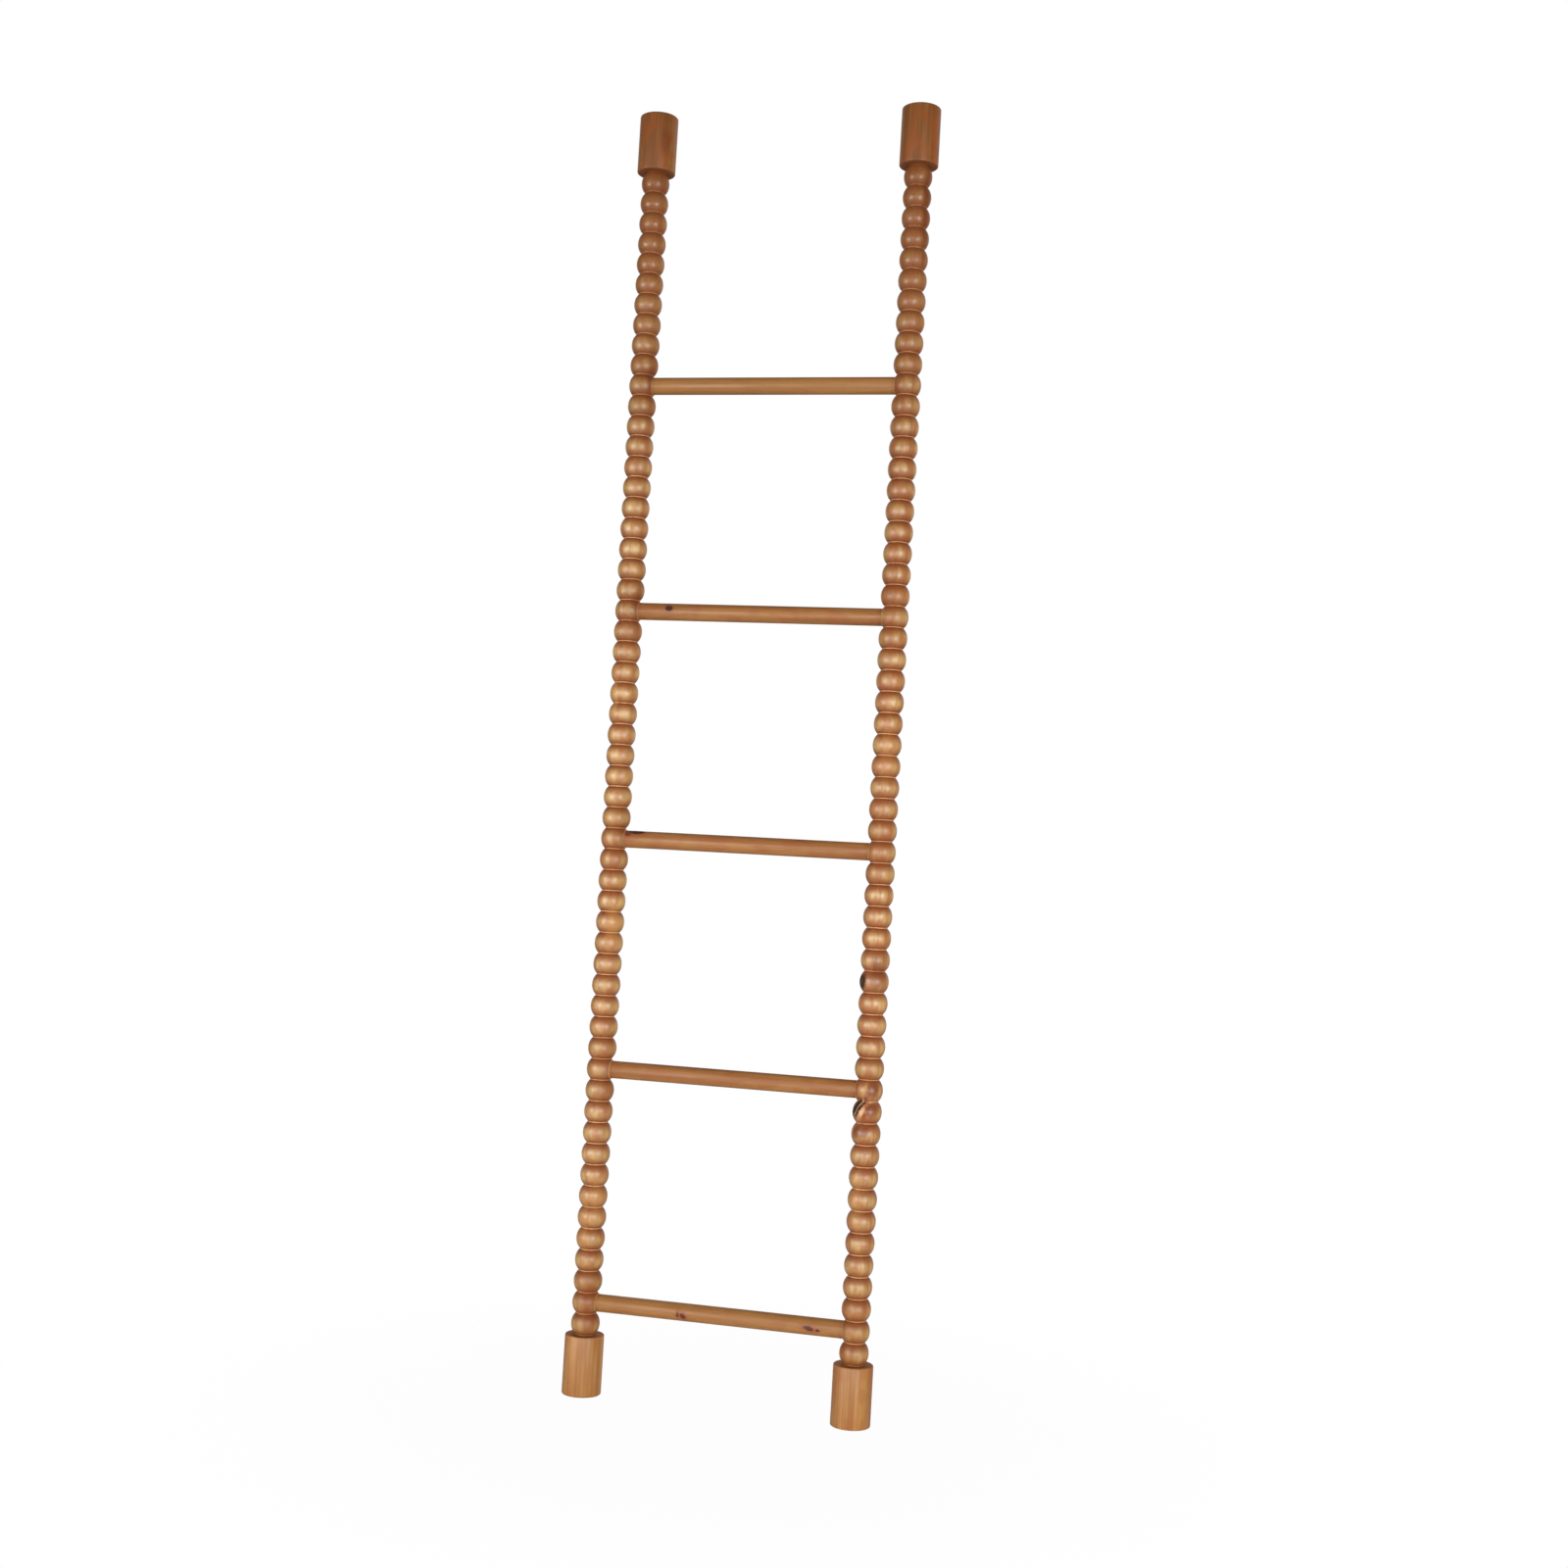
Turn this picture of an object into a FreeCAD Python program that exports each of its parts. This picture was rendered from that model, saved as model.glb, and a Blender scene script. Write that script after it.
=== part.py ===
"""Bobbin-turned wooden blanket ladder that leans on a wall.

Two turned rails of beads carry plain round rungs, and every rail ends in a plain round block.
Rungs are glued into blind mortises in the beads. Blocks are glued on over hidden dowels.

The origin is on the floor, midway between the two feet. +Z runs up the rails, +X runs along the
rungs to the right as seen from the front, and +Y points back towards the wall. Sizes are in
millimetres.
"""
import FreeCAD, Part
import math
import os

# Turned rails
BEAD_COUNT = 56
BEAD_PITCH = 29.7
BEAD_DIAMETER = 40.2
GROOVE_DIAMETER = 28.9
GROOVE_WIDTH = 1.4
BEAD_OVERRUN = 3.0  # how far a bead's oval would run on past the edge of the groove
RAIL_SPACING = 385.5

# Round blocks on the ends of the rails
BLOCK_DIAMETER = 55.0
BLOCK_LENGTH = 83.0
BLOCK_EDGE_RADIUS = 2.0

# Plain rungs, placed by the bead that they enter, counted up from the floor
RUNG_COUNT = 5
RUNG_DIAMETER = 24.4
LOWEST_RUNG_BEAD = 2
BEADS_BETWEEN_RUNGS = 11
RUNG_END_CHAMFER = 1.0

# Blind mortises in the beads, with their depth measured from the crown of the bead
MORTISE_DEPTH = 19.0
MORTISE_CLEARANCE = 0.1
MORTISE_GLUE_SPACE = 1.0

# Hidden dowels between rails and blocks
DOWEL_DIAMETER = 12.0
DOWEL_IN_RAIL = 20.0
DOWEL_IN_BLOCK = 30.0
DOWEL_CHAMFER = 1.0
DOWEL_CLEARANCE = 0.1
DOWEL_GLUE_SPACE = 1.0

# Levels and places that follow from the sizes above
RAIL_BASE = BLOCK_LENGTH
RAIL_TOP = RAIL_BASE + BEAD_COUNT * BEAD_PITCH
RAIL_PLACES = {"left": -RAIL_SPACING / 2, "right": RAIL_SPACING / 2}
RUNG_HALF_LENGTH = RAIL_SPACING / 2 - BEAD_DIAMETER / 2 + MORTISE_DEPTH - MORTISE_GLUE_SPACE

UP = FreeCAD.Vector(0, 0, 1)
ALONG_RUNGS = FreeCAD.Vector(1, 0, 0)


def rung_height(index):
    """Height of a rung's centre line: the middle of the bead that carries it."""
    bead = LOWEST_RUNG_BEAD + index * BEADS_BETWEEN_RUNGS
    return RAIL_BASE + (bead - 0.5) * BEAD_PITCH


def round_bar(diameter, length, start, direction):
    """Plain round bar that runs from a point along a direction."""
    return Part.makeCylinder(diameter / 2, length, start, direction)


def end_edges(bar, ends):
    """Circular edges of a bar whose centres lie at the given end points."""
    near = 1e-6
    return [
        edge for edge in bar.Edges
        if edge.Closed and any(edge.CenterOfMass.distanceToPoint(end) < near for end in ends)
    ]


def chamfered_bar(diameter, start, end, chamfer):
    """Round bar between two points with a chamfer on both of its ends."""
    axis = end - start
    bar = round_bar(diameter, axis.Length, start, axis)
    return bar.makeChamfer(chamfer, end_edges(bar, (start, end)))


def bead_oval(middle):
    """Arc of the oval that rounds a bead, from its upper groove over the crown to its lower one."""
    reach = (BEAD_PITCH - GROOVE_WIDTH) / 2
    half_length = reach + BEAD_OVERRUN
    cut_angle = math.acos(reach / half_length)
    half_width = (BEAD_DIAMETER - GROOVE_DIAMETER) / 2 / (1 - math.sin(cut_angle))
    centre = FreeCAD.Vector(BEAD_DIAMETER / 2 - half_width, 0, middle)
    oval = Part.Ellipse(centre + UP * half_length, centre + FreeCAD.Vector(half_width, 0, 0), centre)
    return Part.Arc(oval, cut_angle, math.pi - cut_angle)


def bead_outline(base):
    """Edges of one bead in the XZ plane: half a groove, the round of the bead, half a groove."""
    groove = GROOVE_DIAMETER / 2
    foot = FreeCAD.Vector(groove, 0, base)
    lower = FreeCAD.Vector(groove, 0, base + GROOVE_WIDTH / 2)
    upper = FreeCAD.Vector(groove, 0, base + BEAD_PITCH - GROOVE_WIDTH / 2)
    head = FreeCAD.Vector(groove, 0, base + BEAD_PITCH)
    return [
        Part.LineSegment(foot, lower).toShape(),
        bead_oval(base + BEAD_PITCH / 2).toShape(),
        Part.LineSegment(upper, head).toShape(),
    ]


def turned_stick():
    """The bare turning on the Z axis, with all of its beads and no holes."""
    groove = GROOVE_DIAMETER / 2
    foot_centre = FreeCAD.Vector(0, 0, RAIL_BASE)
    top_centre = FreeCAD.Vector(0, 0, RAIL_TOP)
    outline = [Part.LineSegment(foot_centre, FreeCAD.Vector(groove, 0, RAIL_BASE)).toShape()]
    for bead in range(BEAD_COUNT):
        outline += bead_outline(RAIL_BASE + bead * BEAD_PITCH)
    outline.append(Part.LineSegment(FreeCAD.Vector(groove, 0, RAIL_TOP), top_centre).toShape())
    outline.append(Part.LineSegment(top_centre, foot_centre).toShape())
    return Part.Face(Part.Wire(outline)).revolve(FreeCAD.Vector(), UP, 360)


def dowel_bore(joint, direction, depth):
    """Blind bore for a dowel, from the joint face into the wood."""
    diameter = DOWEL_DIAMETER + 2 * DOWEL_CLEARANCE
    return round_bar(diameter, depth + DOWEL_GLUE_SPACE, joint, direction)


def rail(place):
    """One rail: the turning with its rung mortises and the dowel bores in both ends."""
    inward = ALONG_RUNGS * (-1 if place > 0 else 1)
    mortise_floor = inward * (BEAD_DIAMETER / 2 - MORTISE_DEPTH)
    holes = [
        round_bar(RUNG_DIAMETER + 2 * MORTISE_CLEARANCE, BEAD_DIAMETER,
                  mortise_floor + UP * rung_height(index), inward)
        for index in range(RUNG_COUNT)
    ]
    holes.append(dowel_bore(UP * RAIL_BASE, UP, DOWEL_IN_RAIL))
    holes.append(dowel_bore(UP * RAIL_TOP, -UP, DOWEL_IN_RAIL))
    return turned_stick().cut(holes).translated(ALONG_RUNGS * place)


def end_block(joint, outward):
    """Round block that runs outward from the joint face of a rail, bored for its dowel."""
    bar = round_bar(BLOCK_DIAMETER, BLOCK_LENGTH, joint, outward)
    rims = end_edges(bar, (joint, joint + outward * BLOCK_LENGTH))
    return bar.makeFillet(BLOCK_EDGE_RADIUS, rims).cut(dowel_bore(joint, outward, DOWEL_IN_BLOCK))


def dowel(joint, outward):
    """Dowel across a joint face, partly in the rail and partly in the block."""
    return chamfered_bar(DOWEL_DIAMETER, joint - outward * DOWEL_IN_RAIL,
                         joint + outward * DOWEL_IN_BLOCK, DOWEL_CHAMFER)


def rung(height):
    """Plain rung between the mortises of the two rails."""
    reach = ALONG_RUNGS * RUNG_HALF_LENGTH
    middle = UP * height
    return chamfered_bar(RUNG_DIAMETER, middle - reach, middle + reach, RUNG_END_CHAMFER)


def ladder():
    """Every piece of the ladder by its name."""
    pieces = {}
    for side, place in RAIL_PLACES.items():
        pieces[f"{side}_rail"] = rail(place)
        for end, level, outward in (("foot", RAIL_BASE, -UP), ("top", RAIL_TOP, UP)):
            joint = ALONG_RUNGS * place + UP * level
            pieces[f"{side}_{end}_block"] = end_block(joint, outward)
            pieces[f"{side}_{end}_dowel"] = dowel(joint, outward)
    for index in range(RUNG_COUNT):
        pieces[f"rung_{index + 1}"] = rung(rung_height(index))
    return pieces


os.makedirs("parts", exist_ok=True)
for name, shape in ladder().items():
    shape.exportStep(f"parts/{name}.step")
    print(f"{name}: {len(shape.Solids)} solid, {shape.Volume / 1000:.1f} cm3, valid {shape.isValid()}")
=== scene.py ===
"""Dresses the bobbin-turned blanket ladder and stands it in a plain studio.

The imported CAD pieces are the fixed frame. Each rail, end block and rung gets a
finely turned mesh in the same place, and every piece gets its own cut of the
same stained wood under a satin lacquer. All lengths are in metres.
"""

import logging
import math
from dataclasses import dataclass, field, replace
from enum import Enum
from typing import Any, Sequence, Union

import bmesh
import bpy
from mathutils import Matrix, Vector


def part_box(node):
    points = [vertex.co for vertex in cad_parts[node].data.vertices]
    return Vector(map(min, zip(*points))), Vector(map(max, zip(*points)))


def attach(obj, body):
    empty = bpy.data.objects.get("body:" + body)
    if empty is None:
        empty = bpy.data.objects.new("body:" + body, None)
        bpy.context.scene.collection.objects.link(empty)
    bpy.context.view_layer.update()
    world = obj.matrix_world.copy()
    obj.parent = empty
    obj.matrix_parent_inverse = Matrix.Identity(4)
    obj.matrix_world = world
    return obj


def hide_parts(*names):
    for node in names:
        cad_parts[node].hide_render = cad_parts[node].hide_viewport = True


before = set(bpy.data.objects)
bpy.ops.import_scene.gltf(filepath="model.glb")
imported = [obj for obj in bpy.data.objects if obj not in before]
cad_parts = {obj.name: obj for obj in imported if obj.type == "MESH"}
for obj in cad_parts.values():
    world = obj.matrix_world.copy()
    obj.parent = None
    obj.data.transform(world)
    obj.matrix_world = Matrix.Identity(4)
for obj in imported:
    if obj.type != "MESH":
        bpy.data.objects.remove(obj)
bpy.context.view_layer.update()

LOG = logging.getLogger("ladder")
BODY = "root"
MM = 0.001
WELD = 1e-6
# Sockets of a Mix node that mixes colours
MIX_SHARE, MIX_BELOW, MIX_ABOVE, MIX_RESULT = 0, 6, 7, 2
# How much further a noise is shifted along the grain than across it
LENGTH_SHIFT = 3

Span = tuple[float, float]
Triple = tuple[float, float, float]
Colour = tuple[float, float, float, float]
Number = Union[float, "Signal"]
Wire = Union[bpy.types.NodeSocket, "Signal"]


class Grain(Enum):
    """The way the fibres of a piece run."""

    UPRIGHT = "upright"
    LEVEL = "level"


class KnotKind(Enum):
    """What is left of a branch in the wood."""

    TIGHT = "tight"
    DEAD = "dead"
    BARK = "bark"


def tint(red: int, green: int, blue: int) -> Colour:
    """Turns a colour chosen on screen into the light values that shaders use.

    Args:
        red, green, blue: Screen values from 0 to 255.

    Returns:
        Linear red, green, blue and an alpha of 1.
    """

    def linear(value: int) -> float:
        """Gives one channel's linear value on the sRGB curve."""
        share = value / 255
        if share <= 0.04045:
            return share / 12.92
        return ((share + 0.055) / 1.055) ** 2.4

    return linear(red), linear(green), linear(blue), 1.0


class Signal:
    """One value in a node tree, whose arithmetic adds Math nodes."""

    def __init__(self, board: "Board", socket: bpy.types.NodeSocket) -> None:
        """Keeps the tree and the socket that carries the value."""
        self.board = board
        self.socket = socket

    def _math(self, operation: str, *terms: Number) -> "Signal":
        """Adds one Math node, with its inputs in order, and gives its result."""
        node = self.board.node(
            "ShaderNodeMath", {"operation": operation}, dict(enumerate(terms))
        )
        return Signal(self.board, node.outputs[0])

    def __add__(self, other: Number) -> "Signal":
        """Adds a value."""
        return self._math("ADD", self, other)

    def __radd__(self, other: float) -> "Signal":
        """Adds to a number."""
        return self._math("ADD", other, self)

    def __sub__(self, other: Number) -> "Signal":
        """Takes a value away."""
        return self._math("SUBTRACT", self, other)

    def __rsub__(self, other: float) -> "Signal":
        """Takes this from a number."""
        return self._math("SUBTRACT", other, self)

    def __mul__(self, other: Number) -> "Signal":
        """Multiplies by a value."""
        return self._math("MULTIPLY", self, other)

    def __rmul__(self, other: float) -> "Signal":
        """Multiplies a number."""
        return self._math("MULTIPLY", other, self)

    def __truediv__(self, other: Number) -> "Signal":
        """Divides by a value."""
        return self._math("DIVIDE", self, other)

    def __rtruediv__(self, other: float) -> "Signal":
        """Divides a number."""
        return self._math("DIVIDE", other, self)

    def __abs__(self) -> "Signal":
        """Drops the sign."""
        return self._math("ABSOLUTE", self)

    def root(self) -> "Signal":
        """Takes the square root."""
        return self._math("SQRT", self)

    def part(self) -> "Signal":
        """Keeps what follows the decimal point."""
        return self._math("FRACT", self)

    def most(self, other: Number) -> "Signal":
        """Keeps the larger of two values."""
        return self._math("MAXIMUM", self, other)

    def rise(self, low: float, high: float) -> "Signal":
        """Goes smoothly from 0 at low to 1 at high, and is held there outside."""
        node = self.board.node(
            "ShaderNodeMapRange",
            {"interpolation_type": "SMOOTHSTEP"},
            {"Value": self, "From Min": low, "From Max": high},
        )
        return Signal(self.board, node.outputs[0])

    def band(self, up: Span, down: Span) -> "Signal":
        """Rises to 1 over one span and falls to 0 over another."""
        return self.rise(*up) * (1 - self.rise(*down))


class Board:
    """One node tree and the few ways in which nodes are added to it."""

    def __init__(self, tree: bpy.types.NodeTree) -> None:
        """Starts from an empty tree."""
        self.tree = tree
        tree.nodes.clear()

    def node(
        self,
        kind: str,
        settings: dict[str, Any] | None = None,
        inputs: dict[str | int, Any] | None = None,
    ) -> bpy.types.Node:
        """Adds a node.

        Args:
            kind: The node's type.
            settings: Its own settings, set before its sockets.
            inputs: Socket name or number, with a value or what it links to.

        Returns:
            The new node.
        """
        node = self.tree.nodes.new(kind)
        for name, setting in (settings or {}).items():
            setattr(node, name, setting)
        for name, value in (inputs or {}).items():
            if isinstance(value, Signal):
                value = value.socket
            if isinstance(value, bpy.types.NodeSocket):
                self.tree.links.new(value, node.inputs[name])
            else:
                node.inputs[name].default_value = value
        return node

    def blend(self, share: Number, below: Any, above: Any) -> Wire:
        """Lays one colour over another.

        Args:
            share: How much the upper colour covers.
            below: The lower colour.
            above: The upper colour.

        Returns:
            The mixed colour.
        """
        node = self.node(
            "ShaderNodeMix",
            {"data_type": "RGBA", "blend_type": "MIX", "clamp_factor": True},
            {MIX_SHARE: share, MIX_BELOW: below, MIX_ABOVE: above},
        )
        return node.outputs[MIX_RESULT]

    def split(self, vector: Wire) -> tuple["Signal", "Signal", "Signal"]:
        """Takes a vector apart into its three values."""
        node = self.node("ShaderNodeSeparateXYZ", None, {0: vector})
        return tuple(Signal(self, out) for out in node.outputs)

    def join(self, x: Number, y: Number, z: Number) -> Wire:
        """Puts three values together into a vector."""
        return self.node("ShaderNodeCombineXYZ", None, {0: x, 1: y, 2: z}).outputs[0]

    def reach(self, *terms: Number) -> "Signal":
        """Gives the length of a vector from its values.

        Args:
            terms: Two or three values.

        Returns:
            The root of their squares' sum.
        """
        total = terms[0] * terms[0]
        for term in terms[1:]:
            total = total + term * term
        return total.root()

    def noise(self, place: Wire, detail: float) -> tuple["Signal", Wire]:
        """Adds a soft noise.

        Args:
            place: Where the noise is read, already scaled.
            detail: How many finer layers it has.

        Returns:
            The grey value from 0 to 1, and three such values as a colour.
        """
        node = self.node(
            "ShaderNodeTexNoise",
            {"noise_dimensions": "3D"},
            {"Vector": place, "Scale": 1.0, "Detail": detail, "Roughness": 0.5},
        )
        return Signal(self, node.outputs[0]), node.outputs[1]


@dataclass
class Place:
    """Where a shader stands on a piece.

    Across the grain there are two directions, side and deep, and length runs
    along it. All three are measured from the middle of the piece.
    """

    board: Board
    x: Signal
    y: Signal
    z: Signal
    side: Signal
    deep: Signal
    length: Signal
    end_on: Signal

    def stretched(self, across: float, along: float, shift: float) -> Wire:
        """Gives noise coordinates drawn out along the grain.

        Args:
            across: Noise cells per metre across the grain.
            along: Noise cells per metre along it.
            shift: How far the piece lies from the others in the noise.

        Returns:
            The scaled coordinates.
        """
        return self.board.join(
            self.side * across + shift,
            self.deep * across - shift,
            self.length * along + LENGTH_SHIFT * shift,
        )

    def along(self, at: Triple, way: Triple) -> Signal:
        """Measures how far the point lies from another in a direction.

        Args:
            at: The other point.
            way: The direction, one long.

        Returns:
            The distance, with a sign.
        """
        steps = [
            (value - start) * share
            for value, start, share in zip((self.x, self.y, self.z), at, way)
            if abs(share) > WELD
        ]
        total = steps[0]
        for step in steps[1:]:
            total = total + step
        return total


@dataclass(frozen=True)
class Figure:
    """One layer of the figure of the wood, drawn out along the grain.

    Its noise has so many cells in a metre across and along the grain, and shift
    sets it apart from the other layers. It sets in over a span of the noise.
    """

    across: float
    along: float
    shift: float
    detail: float
    span: Span = (0.0, 1.0)

    def read(self, place: Place, seed: float) -> tuple[Signal, Wire]:
        """Reads the layer's noise for a piece with its own place in the noise."""
        spot = place.stretched(self.across, self.along, seed + self.shift)
        return place.board.noise(spot, self.detail)

    def share(self, value: Signal) -> Signal:
        """Gives how far the layer has set in at a value of its noise."""
        return value.rise(*self.span)


@dataclass
class Coat:
    """What has been worked out for a point of a surface so far."""

    colour: Wire
    rough: Signal
    height: Signal
    lacquer: Signal


class Mark:
    """Something local on a piece that changes its finish."""

    def shade(self, place: Place, coat: Coat) -> Coat:
        """Gives the finish with the mark on it."""
        return coat


@dataclass(frozen=True)
class Knot(Mark):
    """A knot or bark pocket in the skin of a piece.

    It is as wide as across to each side of its heart and as long as along, and
    it may lean to the side on its way along the grain.
    """

    at: Triple
    out: Triple
    grain: Triple
    across: float
    along: float
    kind: KnotKind
    lean: float = 0.0
    core: Colour = tint(74, 32, 17)
    black: Colour = tint(34, 21, 12)
    halo: Colour = tint(142, 72, 37)
    pale: Colour = tint(216, 168, 118)
    uneven_cells: float = 300.0
    uneven: float = 0.6
    uneven_bark: float = 1.5
    pushed_rings: float = 1.2
    pushed_span: Span = (0.2, 3.0)
    core_span: Span = (0.70, 1.15)
    halo_span: Span = (0.8, 2.4)
    heart_span: Span = (0.10, 0.45)
    tight_depth: float = 0.15
    open_depth: float = 0.9
    depth_rough: float = 0.40

    def spread(self, place: Place) -> tuple[Signal, Signal]:
        """Measures from the knot's heart, 1 at its rim.

        Args:
            place: The point on the piece.

        Returns:
            The share to the side, and the whole distance, a little uneven.
        """
        aside = tuple(Vector(self.grain).cross(Vector(self.out)))
        run = place.along(self.at, self.grain)
        side = (place.along(self.at, aside) - self.lean * run) / self.across
        deep = place.along(self.at, self.out) / (2 * self.across)
        far = place.board.reach(side, run / self.along, deep)
        spot = [value * self.uneven_cells for value in (place.x, place.y, place.z)]
        wobble, _ = place.board.noise(place.board.join(*spot), 3.0)
        torn = self.uneven_bark if self.kind is KnotKind.BARK else self.uneven
        return side, far * (1 - torn / 2 + torn * wobble)

    def swell(self, place: Place) -> Signal:
        """Bends the growth rings round the knot."""
        _, far = self.spread(place)
        return self.pushed_rings * (1 - far.rise(*self.pushed_span))

    def bark(self, place: Place, colour: Wire, side: Signal, far: Signal) -> Wire:
        """Draws a bark pocket with its pale lip and the red vein beside it.

        Args:
            place: The point on the piece.
            colour: The wood with the knot's halo.
            side: The share to the side of the pocket's heart.
            far: The distance from its heart.

        Returns:
            The wood with the pocket.
        """
        board = place.board
        torn, _ = Figure(500.0, 110.0, 3.0, 2.0).read(place, 0.0)
        core = 1 - far.rise(*self.core_span)
        lip = side.band((0.7, 1.1), (1.4, 1.9)) * (1 - far.rise(*self.halo_span))
        lip = lip * torn.rise(0.30, 0.55)
        vein = side.band((1.6, 2.1), (2.3, 2.9)) * (1 - far.rise(2.1, 3.0))
        strand = (0.8 * side + 0.6 * torn).part().band((0.30, 0.42), (0.52, 0.64))
        for share, paint in (
            (0.75 * vein, self.halo),
            (0.85 * lip, self.pale),
            (0.96 * core, self.black),
            (0.55 * strand * core, self.pale),
        ):
            colour = board.blend(share, colour, paint)
        return colour

    def shade(self, place: Place, coat: Coat) -> Coat:
        """Draws the knot.

        Args:
            place: The point on the piece.
            coat: The finish without the knot.

        Returns:
            The finish with it.
        """
        board = place.board
        side, far = self.spread(place)
        core = 1 - far.rise(*self.core_span)
        ring = 1 - far.rise(*self.halo_span)
        colour = board.blend(0.60 * ring, coat.colour, self.halo)
        if self.kind is KnotKind.TIGHT:
            colour = board.blend(0.90 * core, colour, self.core)
        elif self.kind is KnotKind.DEAD:
            heart = 1 - far.rise(*self.heart_span)
            colour = board.blend(0.92 * core, colour, self.black)
            colour = board.blend(0.20 * heart, colour, self.halo)
        else:
            colour = self.bark(place, colour, side, far)
        tight = self.kind is KnotKind.TIGHT
        sunk = (self.tight_depth if tight else self.open_depth) * core
        return Coat(
            colour, coat.rough + self.depth_rough * sunk, coat.height - sunk,
            coat.lacquer * (1 - sunk),
        )


@dataclass(frozen=True)
class GrooveStainAndShade(Mark):
    """Darker, redder shoulders on the beads, partly stain and partly painted shade.

    The height within a bead runs from 0 in the middle of the groove below it to
    1 in the middle of the groove above it.
    """

    base: float
    pitch: float
    land: float
    upper_share: float = 0.86
    lower_share: float = 0.74
    line_share: float = 0.45
    land_highlight_share: float = 0.78
    # Shoulder colour: stain and painted shade
    shoulder: Colour = tint(130, 63, 24)
    # Line colour: painted shade in the creases beside each cut, partly stain
    line: Colour = tint(74, 36, 17)
    # Painted highlight on the land at the bottom of each cut
    land_highlight: Colour = tint(230, 166, 104)
    upper_span: Span = (0.50, 0.92)
    lower_span: Span = (0.06, 0.42)
    line_above: Span = (0.90, 0.955)
    line_below: Span = (0.045, 0.11)
    cut_core: float = 0.4
    upper_rough: float = 0.04
    cut_rough: float = 0.25
    cut_dry: float = 0.9

    def shade(self, place: Place, coat: Coat) -> Coat:
        """Darkens the bead shoulders with stain and painted shade, paints shade lines
        beside each cut and a highlight on each land.

        Args:
            place: The point on the rail.
            coat: The finish of a bead's crown.

        Returns:
            The finish with the stain.
        """
        board = place.board
        level = ((place.z - self.base) / self.pitch).part()
        edge = self.land / self.pitch / 2
        core = self.cut_core * edge
        upper = level.rise(*self.upper_span)
        lower = 1 - level.rise(*self.lower_span)
        line = level.rise(*self.line_above) + 1 - level.rise(*self.line_below)
        cut = level.rise(1 - edge, 1 - core) + 1 - level.rise(core, edge)
        # Shoulder darkening: partly stain in the sloping end grain, partly painted
        # shade, heavier on the upper shoulder
        darkening = self.upper_share * upper + self.lower_share * lower
        colour = board.blend(darkening, coat.colour, self.shoulder)
        # Dark lines beside each cut: painted shade in the crease, partly stain
        colour = board.blend(self.line_share * line, colour, self.line)
        # Pale land at the bottom of each cut: a painted highlight where the lacquered
        # land catches the lamps
        colour = board.blend(self.land_highlight_share * cut, colour, self.land_highlight)
        rough = coat.rough + self.upper_rough * upper + self.cut_rough * cut
        lacquer = coat.lacquer * (1 - self.cut_dry * cut)
        return replace(coat, colour=colour, rough=rough, lacquer=lacquer)


@dataclass(frozen=True)
class EndStainAndShade(Mark):
    """Stain, and painted shade at the top, that gets deeper and smoother towards one
    end of a rail.
    """

    start: float
    full: float
    share: float
    smooth: float
    worn: float
    colour: Colour
    flatten: float = 5.0

    def shade(self, place: Place, coat: Coat) -> Coat:
        """Deepens the colour of the finish from one height to the other."""
        near = place.z.rise(self.start, self.full)
        return Coat(
            place.board.blend(self.share * near, coat.colour, self.colour),
            coat.rough - self.smooth * near,
            coat.height * (1 - self.flatten * self.smooth * near),
            coat.lacquer * (1 - self.worn * near),
        )


@dataclass(frozen=True)
class RungSeats(Mark):
    """The joints where the rungs go into a rail, all spaced alike.

    The beads next to a rung are darker, most on the inner side, and the rim
    of each mortise has a pale line, a painted highlight.
    """

    inner: float
    lowest: float
    spacing: float
    radius: float
    darkening_share: float
    width: float = 1.3 * MM
    share: float = 0.70
    # Pale rim line round each mortise: a painted highlight
    colour: Colour = tint(230, 166, 108)
    full: float = 28.0 * MM
    fade: float = 72.0 * MM
    dull: float = 0.45
    # Darker beads next to each rung, most on the inner side
    darkening: Colour = tint(116, 58, 20)
    outer_share: float = 0.5
    inward_span: Span = (-24.0 * MM, 12.0 * MM)
    facing_span: Span = (0.0, 3.0 * MM)
    line_core: float = 0.2

    def shade(self, place: Place, coat: Coat) -> Coat:
        """Darkens the beads by each rung and paints a thin highlight round it.

        Args:
            place: The point on the rail.
            coat: The finish without the joints.

        Returns:
            The finish with them.
        """
        board = place.board
        step = ((place.z - self.lowest) / self.spacing + 0.5).part() - 0.5
        rise = step * self.spacing
        toward = 1.0 if self.inner < 0 else -1.0
        inward = toward * (place.x - self.inner)
        near = 1 - abs(rise).rise(self.full, self.fade)
        inner_share = (1 - self.outer_share) * inward.rise(*self.inward_span)
        darkened = near * (self.outer_share + inner_share)
        colour = board.blend(self.darkening_share * darkened, coat.colour, self.darkening)
        # Pale line round each mortise rim: a painted highlight
        far = board.reach(place.y, rise)
        core = self.line_core * self.width
        line = 1 - abs(far - self.radius).rise(core, self.width)
        facing = inward.rise(*self.facing_span)
        colour = board.blend(self.share * line * facing, colour, self.colour)
        lacquer = coat.lacquer * (1 - self.dull * darkened)
        return replace(coat, colour=colour, lacquer=lacquer)


@dataclass(frozen=True)
class EndShade(Mark):
    """Painted shade and stain at the two ends of a rung, where it meets the rails."""

    half: float
    width: float = 2.2 * MM
    beyond: float = 0.4 * MM
    share: float = 0.15
    colour: Colour = tint(80, 42, 21)

    def shade(self, place: Place, coat: Coat) -> Coat:
        """Darkens the last millimetres before the bead."""
        # Painted shade, partly stain, where the rung goes into the bead
        near = abs(place.x).rise(self.half - self.width, self.half + self.beyond)
        colour = place.board.blend(self.share * near, coat.colour, self.colour)
        return replace(coat, colour=colour)


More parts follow.
